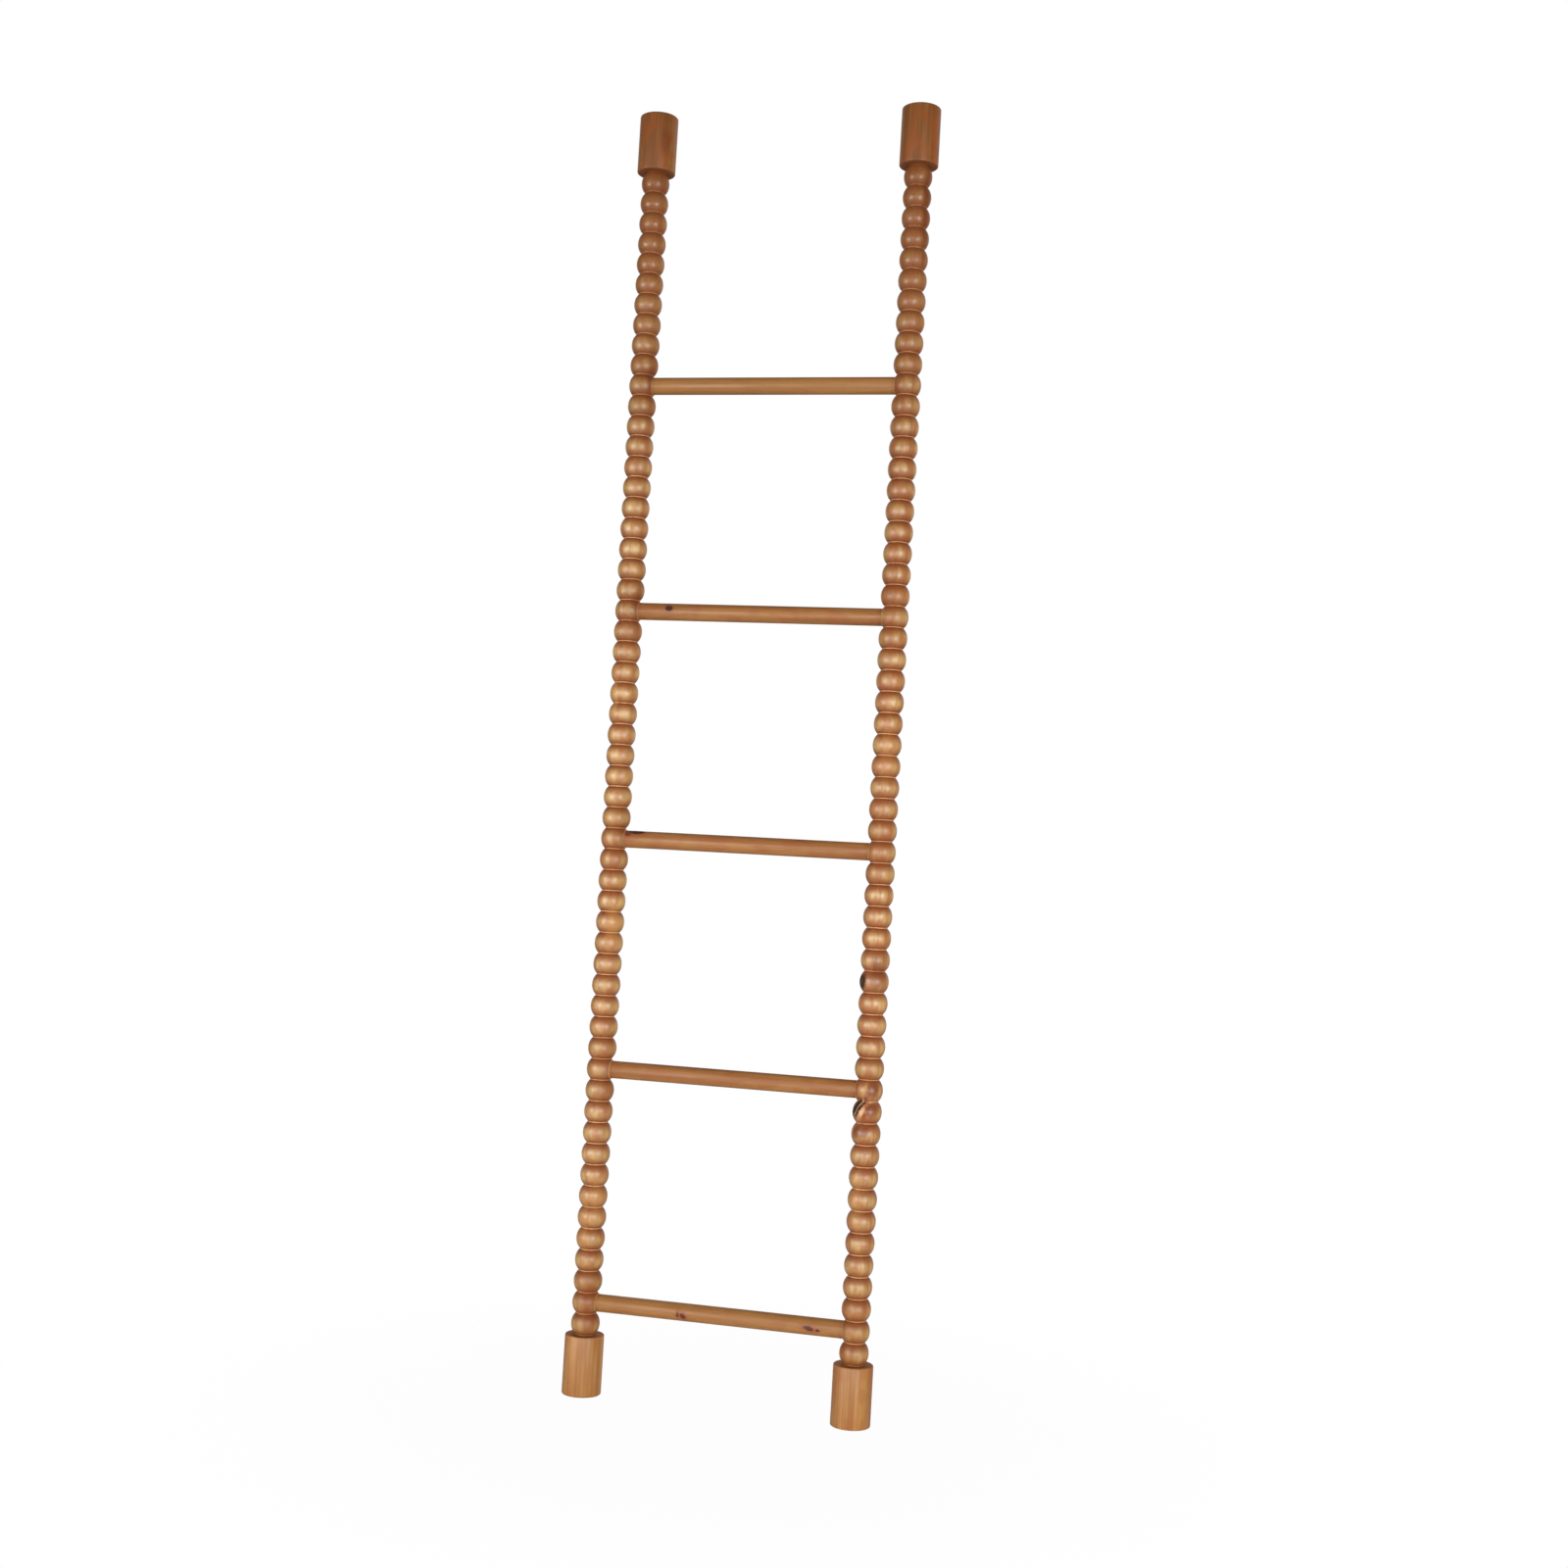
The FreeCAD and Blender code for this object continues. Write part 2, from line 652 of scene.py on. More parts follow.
@dataclass(frozen=True)
class Patch(Mark):
    """A soft patch of darker or paler wood in an upright piece."""

    at: Triple
    across: float
    along: float
    share: float
    colour: Colour
    lean: float = 0.0
    depth: float = 4.0 * MM
    waver: Figure = Figure(60.0, 30.0, 0.0, 2.0)
    waver_spread: float = 900.0
    waver_share: float = 1.4
    span: Span = (0.30, 1.15)
    smooth: float = 0.14
    dull: float = 0.65

    def shade(self, place: Place, coat: Coat) -> Coat:
        """Draws the patch, wavering along its length.

        Args:
            place: The point on the piece.
            coat: The finish without the patch.

        Returns:
            The finish with it.
        """
        board = place.board
        waver, _ = self.waver.read(place, self.across * self.waver_spread)
        run = place.z - self.at[2]
        aside = (waver - 0.5) * (self.waver_share * self.across) - self.lean * run
        far = board.reach(
            (place.x - self.at[0] + aside) / self.across,
            (place.y - self.at[1]) / (self.across + self.depth),
            run / self.along,
        )
        patch = self.share * (1 - far.rise(*self.span))
        return replace(
            coat, colour=board.blend(patch, coat.colour, self.colour),
            rough=coat.rough - self.smooth * patch,
            lacquer=coat.lacquer * (1 - self.dull * patch),
        )


@dataclass(frozen=True)
class Cut:
    """How one piece lay in the tree, and the marks that it carries."""

    grain: Grain
    middle: Triple
    pith: Span
    seed: float
    ring: float = 5.2 * MM
    tone: float = 0.0
    figure: float = 1.0
    marks: tuple[Mark, ...] = ()


@dataclass(frozen=True)
class StainedWood:
    """Softwood under a honey brown stain and a satin lacquer."""

    pale: Colour = tint(193, 154, 94)
    deep: Colour = tint(147, 91, 43)
    red: Colour = tint(160, 87, 37)
    pore: Colour = tint(104, 60, 30)
    end_grain: Colour = tint(146, 88, 48)
    red_share: float = 0.62
    roughness: float = 0.46
    gloss: float = 0.35
    coat_weight: float = 1.0
    coat_roughness: float = 0.40
    refraction: float = 1.5
    relief: float = 0.15 * MM
    relief_share: float = 0.05
    drift: Figure = Figure(13.0, 2.2, 0.0, 2.0)
    drift_reach: float = 22.0 * MM
    waver: Figure = Figure(70.0, 9.0, 5.0, 2.0)
    waver_reach: float = 3.0 * MM
    late_up: Span = (0.15, 0.80)
    late_down: Span = (0.80, 1.0)
    streaks: Figure = Figure(85.0, 5.0, 11.0, 1.5, (0.34, 0.66))
    patches: Figure = Figure(66.0, 36.0, 17.0, 1.5, (0.43, 0.62))
    fibres: Figure = Figure(420.0, 14.0, 23.0, 1.0, (0.45, 0.75))
    tooling: Figure = Figure(60.0, 1900.0, 29.0, 1.0)
    deep_share: float = 0.05
    streak_share: float = 0.50
    late_share: float = 0.20
    pore_share: float = 0.16
    fibre_late_tool_height: Triple = (0.5, 0.2, 0.08)
    fibre_streak_end_rough: Triple = (0.03, 0.03, 0.20)
    end_span: Span = (0.30, 0.98)
    end_share: float = 0.55
    end_dry: float = 0.9

    def place(self, board: Board, cut: Cut) -> Place:
        """Finds where the shader stands on a piece.

        Args:
            board: The piece's node tree.
            cut: How the piece lay in the tree.

        Returns:
            The place, in the frame and along the grain.
        """
        spot = board.node("ShaderNodeTexCoord")
        x, y, z = board.split(spot.outputs["Object"])
        centred = board.node(
            "ShaderNodeMapping",
            {"vector_type": "POINT"},
            {"Vector": spot.outputs["Object"], "Location": [-m for m in cut.middle]},
        )
        across = board.split(centred.outputs[0])
        facing = board.split(spot.outputs["Normal"])
        if cut.grain is Grain.UPRIGHT:
            side, deep, length = across
            end_on = abs(facing[2])
        else:
            length, side, deep = across
            end_on = abs(facing[0])
        return Place(board, x, y, z, side, deep, length, end_on)

    def rings(self, place: Place, cut: Cut) -> Signal:
        """Lays the growth rings through a piece.

        Args:
            place: The point on the piece.
            cut: How the piece lay in the tree.

        Returns:
            0 in the soft early wood, 1 in the hard late wood.
        """
        board = place.board
        side, deep = place.side + cut.pith[0], place.deep + cut.pith[1]
        for layer, reach in (
            (self.drift, self.drift_reach), (self.waver, self.waver_reach)
        ):
            aside, behind, _ = board.split(layer.read(place, cut.seed)[1])
            side = side + (aside - 0.5) * reach
            deep = deep + (behind - 0.5) * reach
        turn = board.reach(side, deep) / cut.ring
        for mark in cut.marks:
            if isinstance(mark, Knot):
                turn = turn + mark.swell(place)
        return turn.part().band(self.late_up, self.late_down)

    def material(self, name: str, cut: Cut) -> bpy.types.Material:
        """Makes the finish of one piece.

        Args:
            name: The material's name.
            cut: How the piece lay in the tree, and its marks.

        Returns:
            The material.
        """
        made = bpy.data.materials.new(name)
        made.use_nodes = True
        board = Board(made.node_tree)
        place = self.place(board, cut)
        late = self.rings(place, cut)
        streak, patch, fibre, tooling = (
            layer.read(place, cut.seed)[0]
            for layer in (self.streaks, self.patches, self.fibres, self.tooling)
        )
        dark = self.streaks.share(streak)
        warm = self.patches.share(patch)
        pores = self.fibres.share(fibre)
        darkened = place.end_on.rise(*self.end_span)
        figure = cut.figure * (self.streak_share * dark + self.late_share * late)
        colour = board.blend(self.deep_share + cut.tone + figure, self.pale, self.deep)
        colour = board.blend((self.red_share + cut.tone) * warm, colour, self.red)
        colour = board.blend(self.pore_share * pores, colour, self.pore)
        colour = board.blend(self.end_share * darkened, colour, self.end_grain)
        rough, height = self.roughness, 0.0
        for share, value in zip(self.fibre_streak_end_rough, (fibre, dark, darkened)):
            rough = rough + share * value
        for share, value in zip(self.fibre_late_tool_height, (fibre, late, tooling)):
            height = height + share * value
        coat = Coat(colour, rough, height, 1 - self.end_dry * darkened)
        for mark in cut.marks:
            coat = mark.shade(place, coat)
        lacquer = self.coat_weight * coat.lacquer if self.coat_weight else 0.0
        bump = board.node("ShaderNodeBump", None, {
            "Strength": self.relief_share,
            "Distance": self.relief,
            "Height": coat.height,
        })
        shader = board.node("ShaderNodeBsdfPrincipled", None, {
            "Base Color": coat.colour,
            "Roughness": coat.rough,
            "IOR": self.refraction,
            "Specular IOR Level": self.gloss,
            "Coat Weight": lacquer,
            "Coat Roughness": self.coat_roughness,
            "Normal": bump.outputs[0],
        })
        board.node("ShaderNodeOutputMaterial", None, {"Surface": shader.outputs[0]})
        return made


@dataclass
class Piece:
    """One piece of the ladder, standing in the place of its CAD node."""

    node: str
    slot: str
    finish: StainedWood

    low: Vector = field(init=False)
    high: Vector = field(init=False)

    def __post_init__(self) -> None:
        """Takes the piece's place and size from the frame."""
        self.low, self.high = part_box(self.node)

    @property
    def middle(self) -> Vector:
        """The middle of the CAD node's box."""
        return (self.low + self.high) / 2

    @property
    def size(self) -> Vector:
        """The sides of the CAD node's box."""
        return self.high - self.low

    def skin(self, turn: float, height: float, radius: float) -> tuple[Triple, Triple]:
        """Finds a point on the skin of an upright piece.

        Args:
            turn: How far round from the front, in degrees.
            height: How high above the floor.
            radius: How far from the middle line of the piece.

        Returns:
            The point, and the direction out of the wood.
        """
        angle = math.radians(turn)
        out = (math.sin(angle), -math.cos(angle), 0.0)
        middle = self.middle
        return (middle.x + radius * out[0], middle.y + radius * out[1], height), out

    def close(self, mesh: bmesh.types.BMesh) -> bpy.types.Object:
        """Turns a finished bmesh into a smooth object that rides with the ladder.

        Args:
            mesh: The bmesh, which is freed.

        Returns:
            The object, hiding its CAD node.
        """
        bmesh.ops.remove_doubles(mesh, verts=mesh.verts[:], dist=WELD)
        bmesh.ops.recalc_face_normals(mesh, faces=mesh.faces[:])
        name = f"{self.node}_turned"
        data = bpy.data.meshes.new(name)
        mesh.to_mesh(data)
        mesh.free()
        data.shade_smooth()
        made = bpy.data.objects.new(name, data)
        bpy.context.scene.collection.objects.link(made)
        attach(made, BODY)
        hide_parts(self.node)
        return made

    def dress(self, made: bpy.types.Object, cut: Cut) -> None:
        """Gives an object its own cut of the wood.

        Args:
            made: The object.
            cut: How the piece lay in the tree.
        """
        if not made.material_slots:
            made.data.materials.append(None)
        finish = self.finish.material(f"{self.node}_finish", cut)
        for slot in made.material_slots:
            slot.material = finish
        LOG.info("%s: %d faces, %s grain", made.name, len(made.data.polygons),
                 cut.grain.value)


@dataclass
class TurnedRail(Piece):
    """A rail turned in one piece: round beads with narrow cuts between them."""

    bead_count: int = 56
    bead_radius: float = 20.1 * MM
    groove_radius: float = 14.45 * MM
    groove_width: float = 1.4 * MM
    overrun: float = 3.0 * MM
    bead_steps: int = 16
    round_steps: int = 64

    @property
    def pitch(self) -> float:
        """The height of a bead with its groove."""
        return self.size.z / self.bead_count

    def bead(self, mesh: bmesh.types.BMesh) -> list:
        """Turns the lowest bead of the rail.

        The bead's outline is part of an oval that would run on a little past the
        grooves, with half a groove left straight at each end.

        Args:
            mesh: The bmesh that takes the bead.

        Returns:
            The bead's geometry.
        """
        axis = Vector((self.middle.x, 0.0, self.low.z))
        reach = (self.pitch - self.groove_width) / 2
        tall = reach + self.overrun
        sweep = math.asin(reach / tall)
        wide = (self.bead_radius - self.groove_radius) / (1 - math.cos(sweep))
        hub = axis + Vector((self.bead_radius - wide, 0.0, self.pitch / 2))
        start = mesh.verts.new(
            hub + wide * Vector((math.cos(sweep), 0.0, -math.sin(sweep)))
        )
        arc = bmesh.ops.spin(
            mesh, geom=[start], cent=hub, axis=(0, -1, 0), angle=2 * sweep,
            steps=self.bead_steps,
        )["geom_last"]
        bmesh.ops.scale(
            mesh, vec=(1.0, 1.0, tall / wide), space=Matrix.Translation(-hub),
            verts=mesh.verts[:],
        )
        ends = [start] + [item for item in arc if isinstance(item, bmesh.types.BMVert)]
        for end, way in zip(ends, (-1, 1)):
            grown = bmesh.ops.extrude_vert_indiv(mesh, verts=[end])["verts"]
            step = Vector((0.0, 0.0, way * self.groove_width / 2))
            bmesh.ops.translate(mesh, verts=grown, vec=step)
        bmesh.ops.spin(
            mesh, geom=mesh.verts[:] + mesh.edges[:], cent=axis, axis=(0, 0, 1),
            angle=math.tau, steps=self.round_steps, use_merge=True,
        )
        return mesh.verts[:] + mesh.edges[:] + mesh.faces[:]

    def build(self) -> bpy.types.Object:
        """Turns the whole rail from copies of its first bead.

        Returns:
            The rail.
        """
        mesh = bmesh.new()
        first = self.bead(mesh)
        for count in range(1, self.bead_count):
            copy = bmesh.ops.duplicate(mesh, geom=first)["geom"]
            moved = [item for item in copy if isinstance(item, bmesh.types.BMVert)]
            bmesh.ops.translate(mesh, verts=moved, vec=(0, 0, count * self.pitch))
        bmesh.ops.remove_doubles(mesh, verts=mesh.verts[:], dist=WELD)
        open_edges = [edge for edge in mesh.edges if edge.is_boundary]
        bmesh.ops.holes_fill(mesh, edges=open_edges, sides=0)
        return self.close(mesh)

    def crown(self, count: float, turn: float) -> tuple[Triple, Triple]:
        """Finds a point on the crown of a bead, counted from the floor."""
        height = self.low.z + (count - 0.5) * self.pitch
        return self.skin(turn, height, self.bead_radius)


@dataclass
class RoundBar(Piece):
    """A plain round bar along its grain, square cut with eased edges."""

    grain: Grain = Grain.UPRIGHT
    edge: float = 2.0 * MM
    edge_steps: int = 4
    round_steps: int = 96
    rim: float = 0.4 * MM

    def build(self) -> bpy.types.Object:
        """Makes the bar and eases its two edges.

        Returns:
            The bar.
        """
        upright = self.grain is Grain.UPRIGHT
        across, along = (0, 2) if upright else (2, 0)
        turn = Matrix() if upright else Matrix.Rotation(math.pi / 2, 4, "Y")
        radius = self.size[across] / 2
        mesh = bmesh.new()
        bmesh.ops.create_cone(
            mesh, cap_ends=True, segments=self.round_steps, radius1=radius,
            radius2=radius, depth=self.size[along],
            matrix=Matrix.Translation(self.middle) @ turn,
        )
        rims = [
            edge for edge in mesh.edges
            if abs(edge.verts[0].co[along] - edge.verts[1].co[along]) < WELD
        ]
        bmesh.ops.bevel(
            mesh, geom=rims, offset=self.edge, offset_type="OFFSET", affect="EDGES",
            segments=self.edge_steps, profile=0.5, material=-1,
        )
        caps = [face for face in mesh.faces if len(face.verts) > 4]
        bmesh.ops.inset_individual(mesh, faces=caps, thickness=self.rim)
        return self.close(mesh)


@dataclass
class EndBlock(RoundBar):
    """A plain round block on the end of a rail."""


@dataclass
class Rung(RoundBar):
    """A plain round rung with chamfered ends, glued into both rails."""

    grain: Grain = Grain.LEVEL
    edge: float = 1.0 * MM
    edge_steps: int = 1
    round_steps: int = 64


@dataclass
class Dowel(Piece):
    """A bare dowel between a rail and its end block, kept as the CAD made it."""

    def build(self) -> bpy.types.Object:
        """Finds the CAD node, whose shape is right."""
        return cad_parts[self.node]


@dataclass
class Ladder:
    """All the pieces of the ladder, each with its own cut of the wood."""

    rail_finish: StainedWood = StainedWood()
    block_finish: StainedWood = StainedWood(
        pale=tint(186, 133, 70), deep=tint(138, 84, 40), red_share=0.25,
        roughness=0.42, coat_weight=0.35,
    )
    rung_finish: StainedWood = StainedWood(
        pale=tint(176, 126, 70), deep=tint(136, 84, 42), red=tint(142, 80, 42),
        red_share=0.0, gloss=0.4, coat_weight=0.08,
    )
    dowel_finish: StainedWood = StainedWood(
        pale=tint(214, 178, 128), deep=tint(186, 142, 92), red=tint(190, 140, 92),
        pore=tint(150, 106, 64), end_grain=tint(170, 126, 80), coat_weight=0.0,
        roughness=0.62,
    )
    # Darker towards the top of the rails: partly stain, partly painted shade where the
    # light falls off
    high_stain_and_shade: EndStainAndShade = EndStainAndShade(
        start=1.30, full=1.74, share=0.70, smooth=0.18, worn=0.76,
        colour=tint(148, 88, 50),
    )
    low_stain: EndStainAndShade = EndStainAndShade(
        start=0.32, full=0.10, share=0.06, smooth=0.0, worn=0.40,
        colour=tint(150, 90, 36),
    )
    seat_inset: float = 4.0 * MM
    rung_tones: tuple[float, ...] = (0.20, 0.42, 0.45, 0.46, 0.13)
    rung_seed: float = 90.0
    rung_seed_step: float = 7.3
    rung_figure: float = 0.6
    dowel_seed: float = 140.0
    dowel_seed_step: float = 3.7
    dowel_pith: Span = (0.02, 0.01)

    def rails(self) -> None:
        """Builds and dresses both rails."""
        rungs = [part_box(f"rung_{count}") for count in (1, 2)]
        heights = [(low.z + high.z) / 2 for low, high in rungs]
        rung_radius = (rungs[0][1].z - rungs[0][0].z) / 2
        # Side, way to the rungs, place in the noise, pith, tone, darkening at the rungs
        for side, toward, seed, pith, tone, darkened in (
            ("left", 1.0, 2.3, (0.021, -0.034), -0.12, 0.34),
            ("right", -1.0, 31.7, (-0.030, -0.026), -0.04, 0.26),
        ):
            rail = TurnedRail(f"{side}_rail", "rail_wood", self.rail_finish)
            shared = (
                GrooveStainAndShade(rail.low.z, rail.pitch, rail.groove_width),
                self.high_stain_and_shade,
                self.low_stain,
                RungSeats(
                    rail.middle.x + toward * self.seat_inset, heights[0],
                    heights[1] - heights[0], rung_radius, darkened,
                ),
            )
            cut = Cut(
                Grain.UPRIGHT, tuple(rail.middle), pith, seed, tone=tone,
                marks=shared + self.rail_marks(rail, side),
            )
            rail.dress(rail.build(), cut)

    def rail_marks(self, rail: TurnedRail, side: str) -> tuple[Mark, ...]:
        """Places the knots and the larger patches of a rail on its beads.

        Args:
            rail: The rail.
            side: left or right.

        Returns:
            The knots, then the patches of dark and pale wood.
        """
        gold, cream = tint(206, 152, 84), tint(222, 166, 116)
        plum, rust = tint(114, 56, 26), tint(132, 62, 24)
        ochre = tint(190, 138, 70)
        # Bead, turn from the front, width and length in mm, kind, lean
        knots = {
            "left": (),
            "right": (
                (18, -50, 9, 11, KnotKind.DEAD, 0.10),
                (12.20, -39, 8.4, 15.5, KnotKind.BARK, 0.50),
            ),
        }
        # Bead, turn from the front, width and length in mm, share, colour, any lean
        patches = {
            "left": (
                (2, 35, 14, 45, 0.35, rust),
                (6, -20, 9, 55, 0.28, gold),
                (6.8, 35, 13, 45, 0.25, gold),
                (19.9, 32, 15, 42, 0.30, gold),
                (24, 62, 8, 32, 0.30, plum),
                (31, -27, 7, 45, 0.40, gold),
                (35, 45, 11, 48, 0.45, plum),
                (46, 55, 10, 40, 0.42, plum),
            ),
            "right": (
                (8, -20, 13, 48, 0.28, gold),
                (13.05, 27, 11, 15, 0.85, plum, 0.1),
                (13.05, -42, 8, 12, 0.65, rust),
                (13.05, -6, 4, 14, 0.60, ochre, 0.29),
                (12.15, 22, 10, 13, 0.75, plum),
                (12.02, -9, 3.2, 9, 0.55, cream, 0.45),
                (12, 4, 3.4, 12, 0.85, rust, 0.40),
                (11.10, -32, 9, 13, 0.85, plum),
                (11.15, 4, 9, 10, 0.70, plum, 0.2),
                (18.5, 25, 15, 34, 0.68, plum),
                (28.6, 15, 15, 50, 0.18, gold),
                (36.2, -15, 14, 60, 0.28, rust),
                (40, 5, 15, 130, 0.22, rust),
                (43.5, -22, 13, 80, 0.30, rust),
                (46, -35, 9, 40, 0.30, rust),
                (54.3, 60, 11, 100, 0.70, plum),
            ),
        }
        marks: list[Mark] = []
        for count, turn, across, along, kind, lean in knots[side]:
            at, out = rail.crown(count, turn)
            size = (across * MM, along * MM)
            marks.append(Knot(at, out, (0.0, 0.0, 1.0), *size, kind, lean))
        for count, turn, across, along, share, colour, *lean in patches[side]:
            at, _ = rail.crown(count, turn)
            marks.append(Patch(at, across * MM, along * MM, share, colour, *lean))
        return tuple(marks)

    def blocks(self) -> None:
        """Builds and dresses the four end blocks."""
        shadow = tint(98, 52, 26)
        # Piece, place in the noise, pith, tone, patches by turn, size in mm and share
        for name, seed, pith, tone, spots in (
            ("left_foot_block", 47.1, (0.036, 0.018), 0.03, ()),
            ("right_foot_block", 53.9, (-0.030, 0.027), 0.12, ()),
            # The top blocks' higher tone is partly their own tone, partly painted shade
            # where the light falls off towards the top
            ("left_top_block", 61.3, (0.024, 0.038), 0.52, ((42, 9, 26, 0.40),)),
            ("right_top_block", 73.7, (-0.040, 0.020), 0.66, ()),
        ):
            block = EndBlock(name, "block_wood", self.block_finish)
            marks: list[Mark] = []
            for turn, across, along, share in spots:
                at, _ = block.skin(turn, block.middle.z, block.size.x / 2)
                marks.append(Patch(at, across * MM, along * MM, share, shadow))
            cut = Cut(
                block.grain, tuple(block.middle), pith, seed, tone=tone,
                marks=tuple(marks),
            )
            block.dress(block.build(), cut)

    def rungs(self) -> None:
        """Builds and dresses the five rungs."""
        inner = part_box("right_rail")[0].x
        # Place along the rung, lift from the front, size in mm, kind, any lean
        knots = {
            1: (
                (-0.0560, -9, 4.4, 2.2, KnotKind.TIGHT),
                (-0.0485, -17, 4, 4.4, KnotKind.TIGHT, 0.4),
                (0.1303, -5, 3.6, 7.5, KnotKind.TIGHT, 0.2),
                (0.1430, -13, 2.2, 2.8, KnotKind.TIGHT),
            ),
            3: (
                (-0.1710, 44, 5.4, 5, KnotKind.DEAD),
                (-0.1580, 57, 4.6, 11, KnotKind.DEAD),
            ),
            4: ((-0.1305, 19, 4.4, 5.6, KnotKind.DEAD),),
        }
        for count, tone in enumerate(self.rung_tones, start=1):
            rung = Rung(f"rung_{count}", "rung_wood", self.rung_finish)
            middle, radius = rung.middle, rung.size.z / 2
            marks: list[Mark] = [EndShade(inner)]
            for x, lift, across, along, kind, *lean in knots.get(count, ()):
                angle = math.radians(lift)
                out = (0.0, -math.cos(angle), math.sin(angle))
                at = (x, middle.y + radius * out[1], middle.z + radius * out[2])
                size = (across * MM, along * MM)
                marks.append(Knot(at, out, (1.0, 0.0, 0.0), *size, kind, *lean))
            pith = (0.030 - 0.004 * count, 0.020 + 0.003 * count)
            seed = self.rung_seed + self.rung_seed_step * count
            cut = Cut(
                rung.grain, tuple(middle), pith, seed, tone=tone,
                figure=self.rung_figure, marks=tuple(marks),
            )
            rung.dress(rung.build(), cut)

    def dowels(self) -> None:
        """Dresses the four dowels inside the joints."""
        for step, name in enumerate(
            ("left_foot_dowel", "right_foot_dowel", "left_top_dowel", "right_top_dowel")
        ):
            dowel = Dowel(name, "dowel_wood", self.dowel_finish)
            seed = self.dowel_seed + self.dowel_seed_step * step
            cut = Cut(Grain.UPRIGHT, tuple(dowel.middle), self.dowel_pith, seed)
            dowel.dress(dowel.build(), cut)


@dataclass(frozen=True)
class Lamp:
    """A soft lamp that hangs round the ladder, turned so far from its front.

    A glossy one also shows in the lacquer.
    """

    name: str
    turn: float
    power: float
    size: Span = (2.6, 1.5)
    spread: float = 46.0
    distance: float = 5.4
    height: float = 0.65
    aim: Triple = (0.0, 0.0, 0.72)
    glossy: bool = True

    def hang(self) -> None:
        """Hangs the lamp, facing the point that it is aimed at."""
        data = bpy.data.lights.new(self.name, "AREA")
        data.shape, data.energy = "RECTANGLE", self.power
        data.size, data.size_y = self.size
        data.spread = math.radians(self.spread)
        angle = math.radians(self.turn)
        at = Vector((math.sin(angle), -math.cos(angle), 0.0)) * self.distance
        at.z = self.height
        toward = Vector(self.aim) - at
        made = bpy.data.objects.new(self.name, data)
        made.location = at
        made.rotation_euler = toward.to_track_quat("-Z", "Y").to_euler()
        made.visible_camera = False
        made.visible_glossy = self.glossy
        bpy.context.scene.collection.objects.link(made)


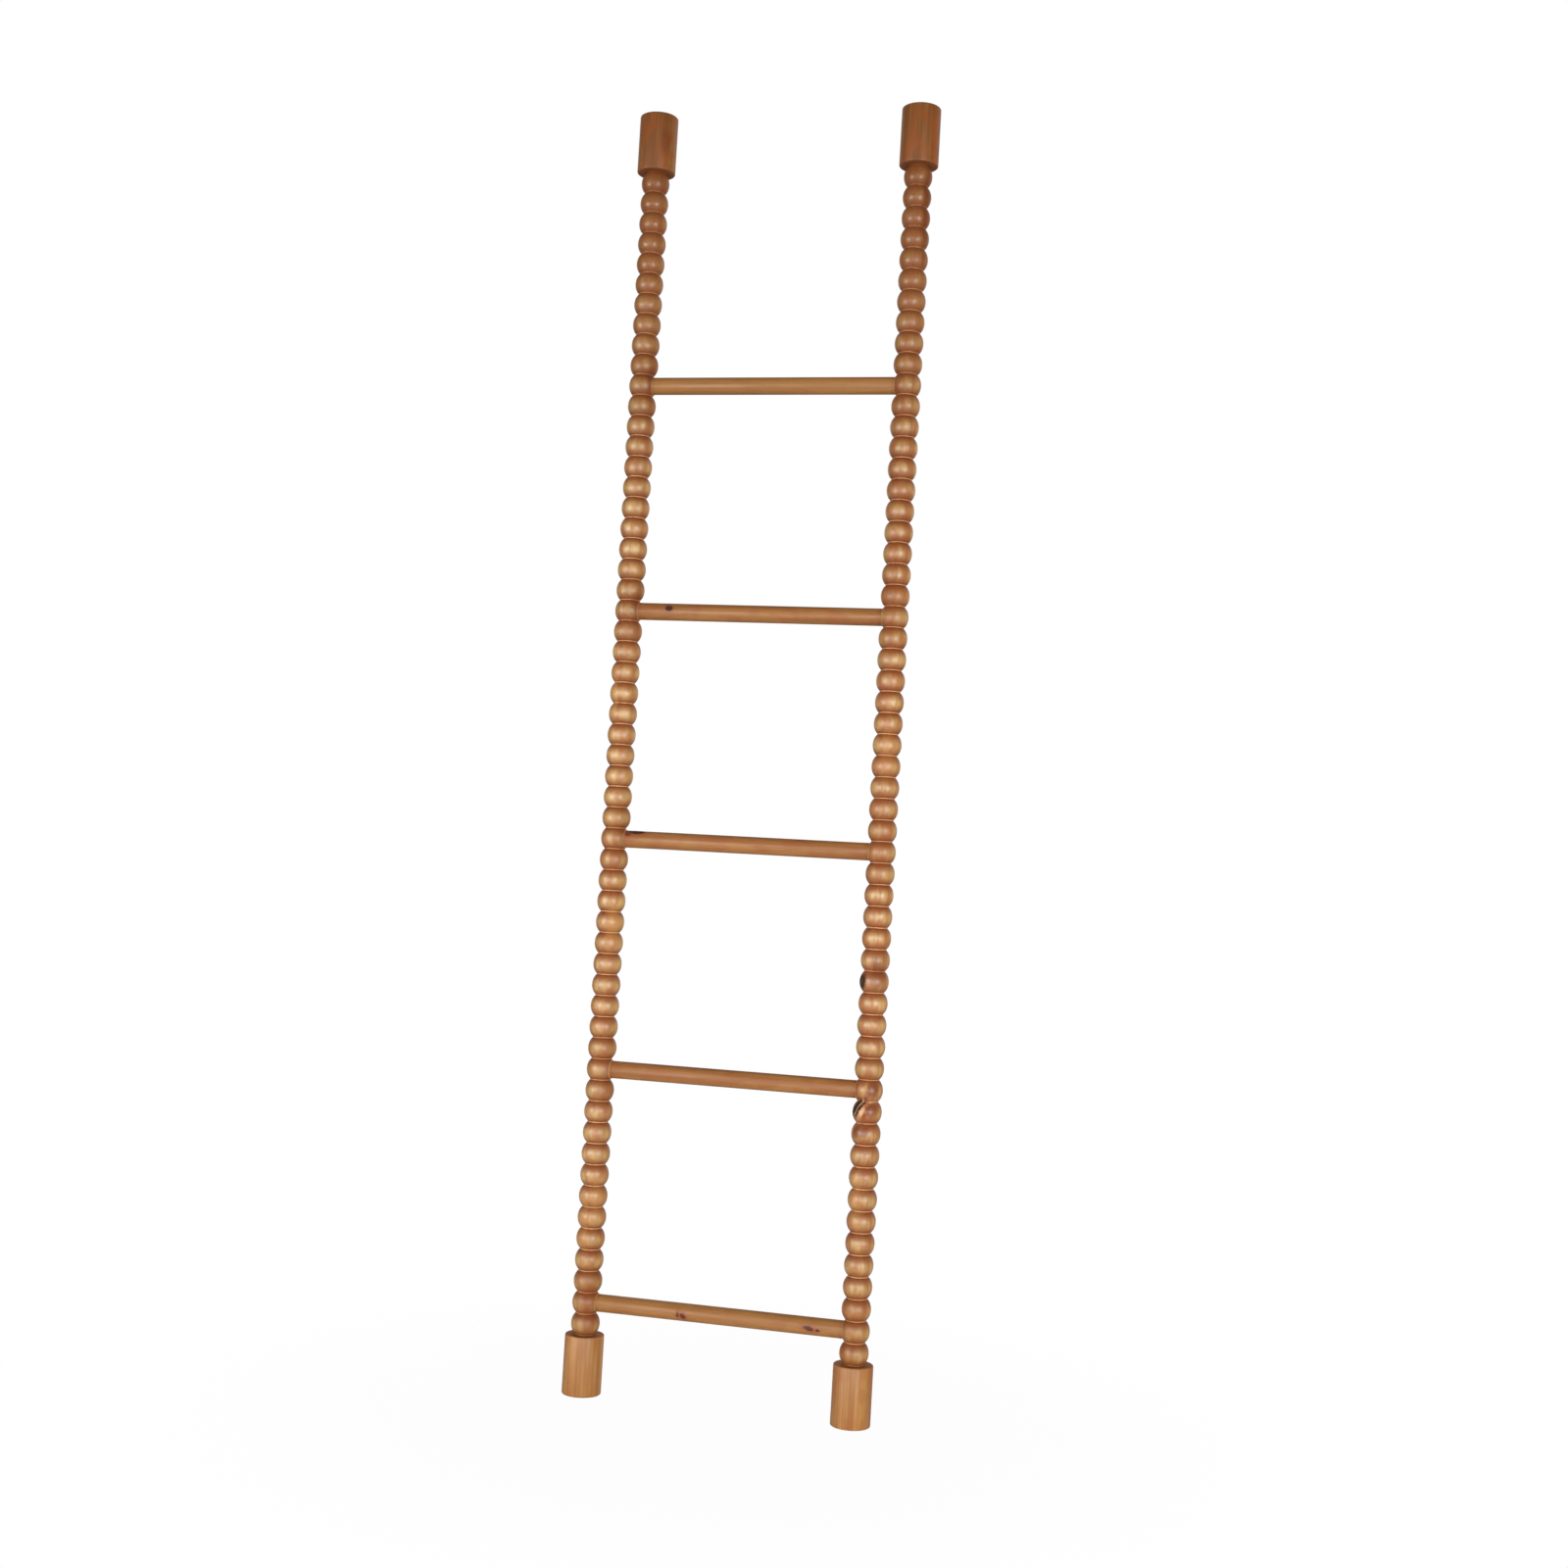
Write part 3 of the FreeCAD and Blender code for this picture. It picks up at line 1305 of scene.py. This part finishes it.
@dataclass
class Studio:
    """A white room: a pale floor, and soft lamps, most of them in front."""

    floor_reach: float = 9.0
    floor_drop: float = 0.2 * MM
    floor_tone: float = 0.82
    white_span: Span = (0.25, 1.0)
    near_share: float = 0.975
    gloss_share: float = 0.06
    back_gloss: float = 0.30
    front_light: float = 0.04
    back_light: float = 0.40
    back_span: Span = (0.15, 0.80)
    high_span: Span = (0.30, 0.90)
    high_dim: float = 0.6
    lamps: tuple[Lamp, ...] = (
        Lamp("left_key", -38.0, 17.2),
        Lamp("right_key", 37.0, 17.2),
        Lamp("front_fill", -1.0, 5.0, spread=32.0, aim=(0.0, 0.0, 0.50)),
        Lamp("right_side", 100.0, 13.0, size=(1.6, 2.4), glossy=False),
        Lamp("back_fill", 194.0, 17.0, height=2.2, glossy=False),
        Lamp(
            "low_bounce", 0.0, 1.0, size=(1.2, 1.2), spread=150.0, distance=1.6,
            height=0.03, aim=(0.0, 0.0, 0.55), glossy=False,
        ),
    )
    lens: float = 45.0
    sensor: float = 36.0
    clip: Span = (0.05, 60.0)
    eye: Triple = (0.67482, -2.66879, 0.72732)
    heading: float = 13.1886
    elevation: float = 2.968
    roll: float = 3.2806

    def seen(self, board: Board) -> tuple[Signal, Signal]:
        """Tells the rays that show the background from the rest.

        Args:
            board: The node tree.

        Returns:
            1 for camera and transmission rays, and 1 for glossy rays.
        """
        rays = board.node("ShaderNodeLightPath").outputs
        straight = Signal(board, rays["Is Camera Ray"]).most(
            Signal(board, rays["Is Transmission Ray"])
        )
        return straight, Signal(board, rays["Is Glossy Ray"])

    def floor(self) -> None:
        """Lays the floor, white to the camera but with the ladder's shadow."""
        mesh = bmesh.new()
        bmesh.ops.create_grid(
            mesh, x_segments=1, y_segments=1, size=self.floor_reach,
            matrix=Matrix.Translation((0.0, 0.0, -self.floor_drop)),
        )
        data = bpy.data.meshes.new("floor")
        mesh.to_mesh(data)
        mesh.free()
        made = bpy.data.objects.new("floor", data)
        bpy.context.scene.collection.objects.link(made)
        paint = bpy.data.materials.new("floor_paint")
        paint.use_nodes = True
        board = Board(paint.node_tree)
        x, y, _ = board.split(board.node("ShaderNodeTexCoord").outputs["Object"])
        out = board.reach(x, y).rise(*self.white_span)
        straight, glossy = self.seen(board)
        share = straight.most(self.gloss_share * glossy) * (
            self.near_share + (1 - self.near_share) * out
        )
        tone = self.floor_tone
        matt = board.node(
            "ShaderNodeBsdfDiffuse", None, {"Color": (tone, tone, tone, 1.0)}
        )
        white = board.node("ShaderNodeEmission", None, {"Strength": 1.0})
        both = board.node(
            "ShaderNodeMixShader", None,
            {0: share, 1: matt.outputs[0], 2: white.outputs[0]},
        )
        board.node("ShaderNodeOutputMaterial", None, {"Surface": both.outputs[0]})
        paint.cycles.emission_sampling = "NONE"
        data.materials.append(paint)

    def room(self) -> None:
        """Lights the room: a white backdrop behind, dim walls in front."""
        world = bpy.data.worlds.new("studio")
        bpy.context.scene.world = world
        world.use_nodes = True
        board = Board(world.node_tree)
        way = board.node("ShaderNodeTexCoord").outputs["Generated"]
        _, back, up = board.split(way)
        dim = self.high_dim * up.rise(*self.high_span)
        lit = back.rise(*self.back_span) * (1 - dim)
        level = self.front_light + (self.back_light - self.front_light) * lit
        straight, glossy = self.seen(board)
        shown = straight.most(self.back_gloss * glossy * lit)
        strength = level + shown * (1 - level)
        paint = {"Strength": strength, "Color": (1.0, 1.0, 1.0, 1.0)}
        sky = board.node("ShaderNodeBackground", None, paint)
        board.node("ShaderNodeOutputWorld", None, {"Surface": sky.outputs[0]})

    def camera(self) -> None:
        """Puts the camera at the photograph's viewing angle."""
        data = bpy.data.cameras.new("camera")
        data.lens, data.sensor_width = self.lens, self.sensor
        data.clip_start, data.clip_end = self.clip
        made = bpy.data.objects.new("camera", data)
        turn = (
            Matrix.Rotation(math.radians(self.heading), 4, "Z")
            @ Matrix.Rotation(math.radians(90.0 + self.elevation), 4, "X")
            @ Matrix.Rotation(math.radians(self.roll), 4, "Z")
        )
        made.matrix_world = Matrix.Translation(self.eye) @ turn
        bpy.context.scene.collection.objects.link(made)
        bpy.context.scene.camera = made

    def build(self) -> None:
        """Sets up the whole studio."""
        bpy.context.scene.view_settings.view_transform = "Standard"
        self.camera()
        self.floor()
        self.room()
        for lamp in self.lamps:
            lamp.hang()


def main() -> None:
    """Builds the ladder piece by piece, then the studio round it."""
    logging.basicConfig(level=logging.INFO, format="%(message)s")
    ladder = Ladder()
    ladder.rails()
    ladder.blocks()
    ladder.rungs()
    ladder.dowels()
    Studio().build()


if __name__ == "__main__":
    main()
